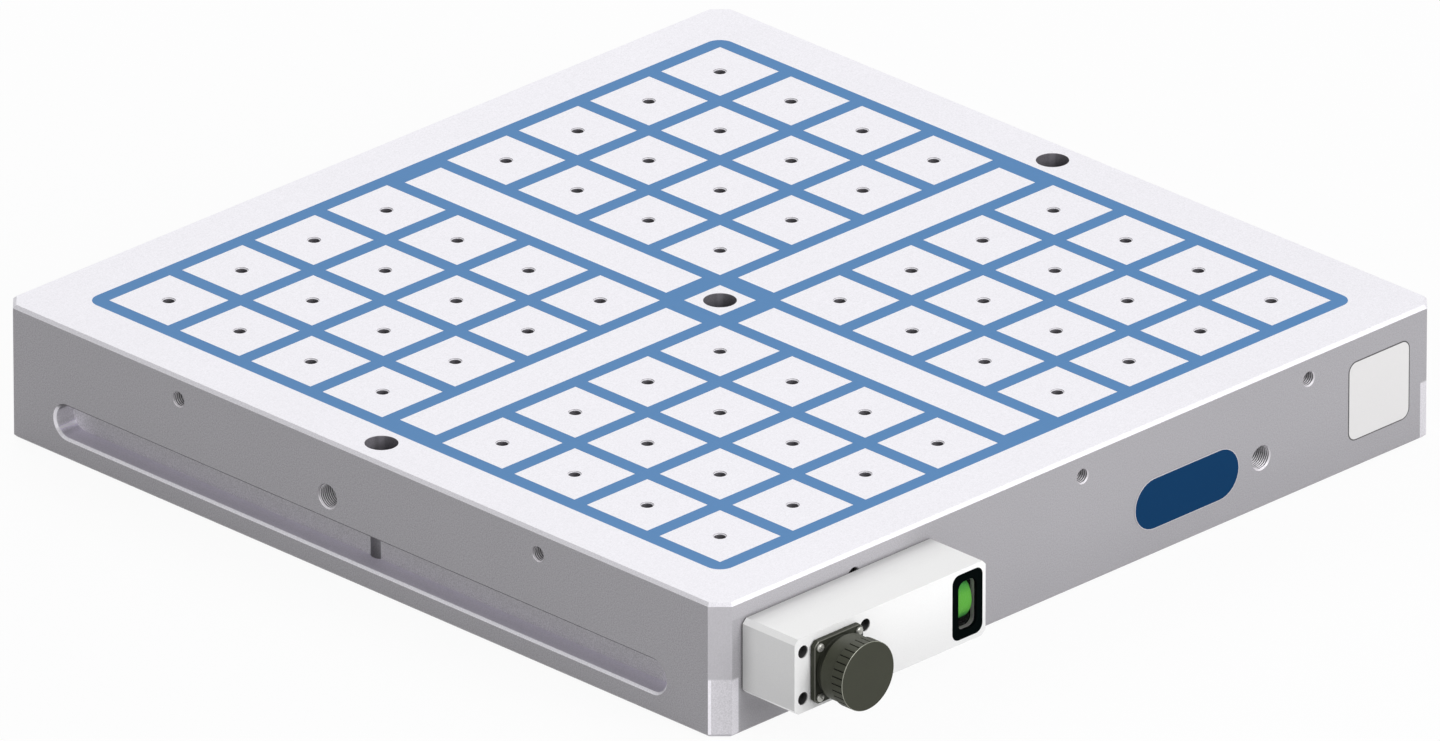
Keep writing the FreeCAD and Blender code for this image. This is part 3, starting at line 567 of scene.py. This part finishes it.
NODE_FINISHES = {
    STEEL: ["housing", "centre_post"],
    POLE_STEEL: ["left_bar", "right_bar", "front_bar", "rear_bar", "pole_shoes"],
    RESIN: ["top_resin"],
    POTTING: ["pole_coils"],
    MAGNET: ["row_magnets", "column_magnets", "edge_magnets"],
    BOX_PAINT: ["connection_box"],
    SEAL_RUBBER: ["box_gasket", "flange_gasket", "cap_seal"],
    SHELL_PLATING: ["connector_shell"],
    CAP_PLATING: ["dust_cap"],
    INSERT_PLASTIC: ["connector_insert"],
    CONTACT_BRASS: ["connector_pins"],
    BEZEL_PLASTIC: ["indicator_bezel"],
    WINDOW: ["indicator_window"],
    BLACKED_STEEL: ["indicator_cradle"],
    CRADLE_STEEL: ["drum_axle", "flip_core"],
    GREEN_PLASTIC: ["green_half_drum"],
    RED_PLASTIC: ["red_half_drum"],
    COPPER: ["flip_coil"],
    LEAD_SHEATH: ["supply_lead"],
}
for material, names in NODE_FINISHES.items():
    for name in names:
        NODES[name].data.materials.clear()
        NODES[name].data.materials.append(material)


# Shapes: rings of points, joined into closed skins.
SHARP_ANGLE = 32


class Shape:
    """Points in millimetres, the faces between them, and which finish each face has."""

    def __init__(self):
        self.points = []
        self.faces = []
        self.tints = []

    def skin(self, rings, ends=True, seat=None, tint=0):
        """Joins rings of equally many points, from the first to the last.

        With ends, flat faces close the first and last ring, and otherwise the last is joined to the first.
        The tint of a face is a number, or depends on the point that the face starts from.
        """
        count = len(rings[0])
        seat = seat or Matrix.Identity(4)
        starts = [len(self.points) + row * count for row in range(len(rings))]
        self.points += [seat @ Vector(point) for outline in rings for point in outline]
        nexts = starts[1:] if ends else starts[1:] + starts[:1]
        for outline, start, following in zip(rings, starts, nexts):
            for i, point in enumerate(outline):
                j = (i + 1) % count
                self.faces.append((start + i, start + j, following + j, following + i))
                self.tints.append(tint(point) if callable(tint) else tint)
        if ends:
            self.faces.append(tuple(range(starts[0], starts[0] + count)))
            self.faces.append(tuple(reversed(range(starts[-1], starts[-1] + count))))
            self.tints += [0 if callable(tint) else tint] * 2


def seat_at(origin, outward):
    """Stands a shape that is drawn along +Z at origin, facing outward."""
    turn = Vector(outward).to_track_quat("Z", "Y").to_matrix().to_4x4()
    return Matrix.Translation(Vector(origin)) @ turn


def angles(count, extra=()):
    """Evenly spaced angles, with the extra ones put in order between them."""
    even = [2 * math.pi * i / count for i in range(count)]
    return sorted(set(even) | {angle % (2 * math.pi) for angle in extra})


def ring(turns, radius, level):
    """A ring at one level. The radius is a number or depends on the angle."""
    sizes = [radius(turn) if callable(radius) else radius for turn in turns]
    return [(size * math.cos(turn), size * math.sin(turn), level) for size, turn in zip(sizes, turns)]


def thread_radius(root, crest, pitch, level):
    """The radius of a screw thread at one level, as a function of the angle."""

    def radius(turn):
        share = (level / pitch - turn / (2 * math.pi)) % 1
        return root + (crest - root) * (1 - abs(2 * share - 1))

    return radius


def thread_rings(turns, root, crest, pitch, start, end, density=4):
    """Rings down a screw thread, with density of them to each turn of it."""
    steps = round(abs(end - start) / pitch * density)
    levels = [start + (end - start) * step / steps for step in range(steps + 1)]
    return [ring(turns, thread_radius(root, crest, pitch, level), level) for level in levels]


def square_radius(half, corner=0.0):
    """The outline of a square with cut corners, as a function of the angle."""

    def radius(turn):
        across, up = abs(math.cos(turn)), abs(math.sin(turn))
        return min(half / max(across, up), (2 * half - corner) / (across + up))

    return radius


def cut_corner_turns(half, corner, count):
    """Angles for square_radius, with one at each end of the square's four cut corners."""
    corner_turn = math.atan2(half - corner, half)
    corners = [quarter * math.pi / 2 + side * corner_turn for quarter in range(4) for side in (-1, 1)]
    return angles(count, corners)


def rounded_outline(width, height, radius, level, steps=8):
    """A rectangle with round corners, drawn round the seat's own centre."""
    outline = []
    for across, up, start in ((1, 1, 0), (-1, 1, 90), (-1, -1, 180), (1, -1, 270)):
        centre = (across * (width / 2 - radius), up * (height / 2 - radius))
        for step in range(steps + 1):
            turn = math.radians(start + 90 * step / steps)
            outline.append((centre[0] + radius * math.cos(turn), centre[1] + radius * math.sin(turn), level))
    return outline


def make(name, shape, finishes, body, stands_for=()):
    """Turns a shape into a piece of the object that rides on a body."""
    mesh = bpy.data.meshes.new(name)
    mesh.from_pydata([point * MM for point in shape.points], [], shape.faces)
    for material in finishes:
        mesh.materials.append(material)
    mesh.polygons.foreach_set("material_index", shape.tints)
    skin = bmesh.new()
    skin.from_mesh(mesh)
    bmesh.ops.recalc_face_normals(skin, faces=skin.faces)
    skin.to_mesh(mesh)
    skin.free()
    mesh.shade_smooth()
    mesh.set_sharp_from_angle(angle=math.radians(SHARP_ANGLE))
    piece = bpy.data.objects.new(name, mesh)
    bpy.context.scene.collection.objects.link(piece)
    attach(piece, body)
    if stands_for:
        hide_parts(*stands_for)


def pole_shoes():
    """Every pole with its countersunk, threaded hole."""
    turns = angles(24)
    root, crest, pitch = POLE_THREAD
    sink_depth = POLE_SINK_RADIUS - crest
    runout = 0.3
    half = POLE_SIZE / 2
    height = POLES_HIGH.z - POLES_LOW.z
    rings = [
        ring(turns, square_radius(half), -height),
        ring(turns, square_radius(half), -POLE_EDGE),
        ring(turns, square_radius(half - POLE_EDGE), 0),
        ring(turns, POLE_SINK_RADIUS, 0),
        *thread_rings(turns, root, crest, pitch, -sink_depth, -POLE_THREAD_DEPTH),
        ring(turns, crest, -POLE_THREAD_DEPTH - runout),
        ring(turns, crest, -POLE_HOLE_DEPTH),
    ]
    shape = Shape()
    for x in POLE_CENTRES:
        for y in POLE_CENTRES:
            shape.skin(rings, seat=Matrix.Translation((x, y, POLES_HIGH.z)))
    make("threaded_poles", shape, [POLE_STEEL], "chuck", ["pole_shoes"])


def side_threads():
    """The cut threads inside the drilled holes of the sides, as sleeves just clear of the drilled walls."""
    turns = angles(36)
    wall_gap, inset = 0.02, 0.01
    shape = Shape()
    for place, outward, (root, crest, pitch), depth in SIDE_HOLES:
        outer = root - wall_gap
        rings = [
            ring(turns, outer, -depth),
            ring(turns, outer, 0),
            *thread_rings(turns, outer - inset, crest, pitch, crest - outer, -depth, 8),
        ]
        shape.skin(rings, False, seat_at(place, outward))
    make("side_threads", shape, [THREAD_STEEL], "chuck")


def window_liner():
    """The pale lining of the bezel's opening, behind the window."""
    width, height, corner, wall = 14.9, 31.3, 4.95, 0.25
    front, back = -0.02, -2.8
    outer = (width, height, corner)
    inner = (width - 2 * wall, height - 2 * wall, corner - wall)
    glass_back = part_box("indicator_window")[1].y / MM
    rings = [
        rounded_outline(*outer, front),
        rounded_outline(*outer, back),
        rounded_outline(*inner, back),
        rounded_outline(*inner, front),
    ]
    shape = Shape()
    shape.skin(rings, False, seat_at((BEZEL_MIDDLE.x, glass_back, BEZEL_MIDDLE.z), FORWARD))
    make("window_liner", shape, [LINER], "chuck")


def box_screws():
    """Socket head screws down the box's four bores."""
    radius, height, edge = 3.5, 4.0, 0.4
    key_half, key_floor = 1.5, 2.0

    def hexagon(turn):
        return key_half / math.cos((turn + math.pi / 6) % (math.pi / 3) - math.pi / 6)

    turns = angles(24)
    head = [
        ring(turns, radius, 0),
        ring(turns, radius, height - edge),
        ring(turns, radius - edge, height),
        ring(turns, hexagon, height),
        ring(turns, hexagon, key_floor),
    ]
    shape = Shape()
    for x, z in BOX_SCREWS:
        shape.skin(head, seat=seat_at((x, BOX_LOW.y + BOX_SCREW_SEAT, z), FORWARD))
    make("box_screws", shape, [BLACK_SCREW], "chuck")


def flange_screws():
    """Slotted pan head screws at the flange's corners."""
    radius, slot_half, slot_floor = 2.65, 0.4, 0.8
    crown = ((1, 0.0), (1, 0.7), (0.93, 1.2), (0.77, 1.55), (0.5, 1.75), (0.17, 1.85))
    slot_turns = (35, 100, 160, 62)
    steps = 12

    def half_head(side, size, level):
        """Half of a round outline, cut off flat along the slot."""
        reach = math.sqrt(size * size - slot_half * slot_half)
        outline = []
        for step in range(steps + 1):
            bend = math.radians(180 * step / steps - 90)
            y = min(max(size * math.sin(bend), -reach), reach)
            outline.append((side * max(size * math.cos(bend), slot_half), y, level))
        return outline

    edge = math.acos(slot_half / radius)
    turns = angles(24, [edge, -edge, math.pi - edge, math.pi + edge])
    foot = [ring(turns, radius, 0), ring(turns, radius, slot_floor)]
    front = FLANGE_HIGH.y - FLANGE_THICKNESS
    shape = Shape()
    for (x, z), slot_turn in zip(FLANGE_SCREWS, slot_turns):
        seat = seat_at((x, front, z), FORWARD) @ Matrix.Rotation(math.radians(slot_turn), 4, "Z")
        shape.skin(foot, seat=seat)
        for side in (-1, 1):
            shape.skin([half_head(side, radius * share, level) for share, level in crown], seat=seat)
    make("flange_screws", shape, [ZINC_SCREW], "chuck")


def connector_shell():
    """The flange and its threaded barrel, bored through, with a painted highlight on the flange's eased
    front edge.
    """
    bore, bore_edge, mouth_taper = 13.0, 0.4, 0.1
    foot_width, foot_height = 0.9, 0.6
    collar_end, undercut, thread_start, thread_runout = 2.2, 2.8, 3.2, 0.9
    root, crest, pitch = BARREL_THREAD
    length = FLANGE_HIGH.y - FLANGE_LOW.y
    face = FLANGE_THICKNESS
    turns = cut_corner_turns(FLANGE_HALF, FLANGE_CORNER, 72)
    outline = square_radius(FLANGE_HALF, FLANGE_CORNER)
    eased = square_radius(FLANGE_HALF - FLANGE_EDGE, FLANGE_CORNER)
    rings = [
        ring(turns, bore, 0),
        ring(turns, outline, 0),
        ring(turns, outline, face - FLANGE_EDGE),
        ring(turns, eased, face),
        ring(turns, crest + foot_width, face),
        ring(turns, crest, face + foot_height),
        ring(turns, crest, face + collar_end),
        ring(turns, root, face + undercut),
        *thread_rings(turns, root, crest, pitch, face + thread_start, length - thread_runout),
        ring(turns, root - mouth_taper, length),
        ring(turns, bore + bore_edge, length),
        ring(turns, bore, length - bore_edge),
    ]

    def tint(point):
        """1 on the flange's eased front edge, which has a painted highlight."""
        return int(abs(point[2] - face + FLANGE_EDGE) < 0.01)

    shape = Shape()
    shape.skin(rings, False, seat_at((SOCKET_X, FLANGE_HIGH.y, SOCKET_Z), FORWARD), tint)
    make("flanged_shell", shape, [SHELL_PLATING, SHELL_EDGE_HIGHLIGHT], "chuck", ["connector_shell"])


def flange_seal():
    """The seal behind the flange, with its corners cut like the flange's."""
    opening = 13.5
    low, high = millimetres("flange_gasket")
    half = (high.x - low.x) / 2
    thickness = high.y - low.y
    turns = cut_corner_turns(half, FLANGE_CORNER, 48)
    outline = square_radius(half, FLANGE_CORNER)
    rings = [
        ring(turns, outline, 0),
        ring(turns, outline, thickness),
        ring(turns, opening, thickness),
        ring(turns, opening, 0),
    ]
    shape = Shape()
    shape.skin(rings, False, seat_at((SOCKET_X, high.y, SOCKET_Z), FORWARD))
    make("flange_seal", shape, [SEAL_RUBBER], "chuck", ["flange_gasket"])


def dust_cap():
    """The screw cap, with narrow flutes round its grip."""
    grip = (CAP_HIGH.x - CAP_LOW.x) / 2
    length = CAP_HIGH.y - CAP_LOW.y
    body, bore, wall = grip - 0.9, 17.75, 2.4
    grip_edge, body_edge, bore_edge = 0.3, 0.4, 0.3
    flutes, flute_half, flute_depth, flute_end = 30, 0.34, 0.5, 0.02
    grip_length, grip_back_slope = 8.9, 0.05
    grip_back = length - grip_length
    step = 2 * math.pi / flutes
    lip = flute_half / grip
    offsets = (-1.15 * lip, -0.85 * lip, 0.85 * lip, 1.15 * lip, 0.3 * step, 0.5 * step, 0.7 * step)
    turns = [flute * step + offset for flute in range(flutes) for offset in offsets]

    def fluted(turn):
        """The grip's radius at an angle, less in the flutes."""
        from_flute = abs((turn + step / 2) % step - step / 2)
        return grip - flute_depth if from_flute < lip else grip

    rings = [
        ring(turns, grip - grip_edge, length),
        ring(turns, grip, length - grip_edge),
        ring(turns, fluted, length - grip_edge - flute_end),
        ring(turns, fluted, grip_back + grip_edge),
        ring(turns, lambda turn: min(fluted(turn), grip - grip_edge), grip_back),
        ring(turns, lambda turn: min(fluted(turn), body), grip_back - grip_back_slope),
        ring(turns, body, grip_back - body_edge),
        ring(turns, body, body_edge),
        ring(turns, body - body_edge, 0),
        ring(turns, bore + bore_edge, 0),
        ring(turns, bore, bore_edge),
        ring(turns, bore, length - wall),
    ]

    def tint(point):
        """2 on the front edge, which has a painted highlight, 1 down the flutes, which have painted shade,
        and 0 elsewhere.
        """
        if point[2] > length - 0.01:
            return 2
        in_flute = math.hypot(point[0], point[1]) < grip - grip_edge
        return int(in_flute and grip_back < point[2] < length - grip_edge)

    shape = Shape()
    shape.skin(rings, seat=seat_at((SOCKET_X, CAP_HIGH.y, SOCKET_Z), FORWARD), tint=tint)
    make("fluted_cap", shape, [CAP_PLATING, CAP_FLUTE_SHADE, CAP_EDGE_HIGHLIGHT], "cap", ["dust_cap"])


def bare_plate(name, place, size, layers, finishes):
    """A flat plate on the front side. Each layer steps in by a margin and rises, in the next finish."""
    ease = 0.05
    shape = Shape()
    seat = seat_at(place, FORWARD)
    width, height, corner = size
    level = 0.0
    for tint, (margin, rise) in enumerate(layers):
        width, height = width - 2 * margin, height - 2 * margin
        corner = max(corner - margin, 0.4)
        level += rise
        rings = [
            rounded_outline(width, height, corner, 0.0),
            rounded_outline(width, height, corner, level - ease),
            rounded_outline(width - 2 * ease, height - 2 * ease, corner - ease, level),
        ]
        shape.skin(rings, seat=seat, tint=tint)
    make(name, shape, finishes, "chuck")


pole_shoes()
side_threads()
window_liner()
box_screws()
flange_screws()
connector_shell()
flange_seal()
dust_cap()
bare_plate("bare_badge", BADGE_PLACE, BADGE_SIZE, [(0, 0.45), (0.4, 0.05)], [PLATE_RIM, BADGE_BLUE])
bare_plate("bare_label", LABEL_PLACE, LABEL_SIZE, [(0, 0.12), (0.75, 0.03)], [LABEL_LINE, LABEL_WHITE])


# Floor and light, in metres.
FLOOR_HALF = 6.0
FLOOR_LEVEL = -0.0005
FLOOR_GLOW = 0.93
AMBIENT = 0.40

# The camera. The last two values leave a little room round the object.
LENS = 850.0
SENSOR = 36.0
PHOTO_WIDTH, PHOTO_HEIGHT = 1440, 741
PIXELS_PER_MM = 1.725
TOP_CENTRE_PIXEL = (720.0, 303.3)
AZIMUTH, ELEVATION = math.radians(-45), math.radians(25.04)
LOOSENESS = 1.018
LOWERED_MM = 2.5


def studio_mask(finish):
    """1 for what the camera sees directly, in a reflection or through glass."""
    rays = ("Is Camera Ray", "Is Glossy Ray", "Is Transmission Ray")
    return reduce(Field.most, [finish.node("LightPath", output=ray) for ray in rays])


def floor():
    """A pale floor that the camera sees nearly white, with the object's shadow on it."""
    finish = Finish("pale_floor", (0.86, 0.86, 0.87), 0.9)
    glow = finish.node("Emission", None, {"Color": (1, 1, 1, 1), "Strength": 1.0})
    lit = Field(finish, finish.shader.outputs[0])
    mixed = finish.node("MixShader", None, {0: studio_mask(finish) * FLOOR_GLOW, 1: lit, 2: glow})
    output = finish.tree.nodes["Material Output"]
    finish.tree.links.new(mixed.socket, output.inputs["Surface"])
    mesh = bpy.data.meshes.new("studio_floor")
    corners = [(x * FLOOR_HALF, y * FLOOR_HALF, 0) for x, y in ((-1, -1), (1, -1), (1, 1), (-1, 1))]
    mesh.from_pydata(corners, [], [(0, 1, 2, 3)])
    mesh.materials.append(finish.material)
    ground = bpy.data.objects.new("studio_floor", mesh)
    ground.location.z = FLOOR_LEVEL
    bpy.context.scene.collection.objects.link(ground)


class Sky(Finish):
    """The world's own nodes: plain light on the object, and white behind it."""

    def __init__(self, ambient):
        world = bpy.data.worlds.new("studio")
        world.use_nodes = True
        bpy.context.scene.world = world
        self.tree = world.node_tree
        self.shader = self.tree.nodes["Background"]
        self.vary("Color", (1, 1, 1, 1))
        self.vary("Strength", ambient + studio_mask(self) * (1 - ambient))


def lamp(name, place, target, size, power):
    """A square soft light at place, aimed at target, with its size in metres and its power in watts."""
    light = bpy.data.lights.new(name, "AREA")
    light.shape = "SQUARE"
    light.size = size
    light.energy = power
    stand = bpy.data.objects.new(name, light)
    stand.location = place
    aim = Vector(target) - Vector(place)
    stand.rotation_euler = aim.to_track_quat("-Z", "Y").to_euler()
    bpy.context.scene.collection.objects.link(stand)


def photo_camera():
    """The camera at the photograph's angle and scale, from far off, as its lines are nearly parallel."""
    back = Vector((
        math.sin(AZIMUTH) * math.cos(ELEVATION),
        -math.cos(AZIMUTH) * math.cos(ELEVATION),
        math.sin(ELEVATION),
    ))
    turn = (-back).to_track_quat("-Z", "Y")
    up = turn @ Vector((0, 1, 0))
    drop = (PHOTO_HEIGHT / 2 - TOP_CENTRE_PIXEL[1]) / PIXELS_PER_MM + LOWERED_MM
    view_width = PHOTO_WIDTH / PIXELS_PER_MM * MM * LOOSENESS
    aim_point = Vector((0, 0, PLATE_TOP * MM)) - up * drop * MM

    lens = bpy.data.cameras.new("camera")
    lens.lens = LENS
    lens.sensor_width = SENSOR
    lens.clip_end = 100
    camera = bpy.data.objects.new("camera", lens)
    camera.rotation_mode = "QUATERNION"
    camera.rotation_quaternion = turn
    camera.location = aim_point + back * (view_width * LENS / SENSOR)
    bpy.context.scene.collection.objects.link(camera)
    bpy.context.scene.camera = camera


floor()
Sky(AMBIENT)
lamp("key", (0.1, -3.2, 1.7), (0, 0, 0.04), 1.8, 72)
lamp("back", (1.2, 2.0, 2.1), (0.1, 0.1, 0.08), 2.0, 34)
lamp("left_fill", (-3.0, -0.8, 0.9), (0, 0, 0.04), 1.6, 12.4)
photo_camera()
bpy.context.scene.view_settings.view_transform = "Standard"
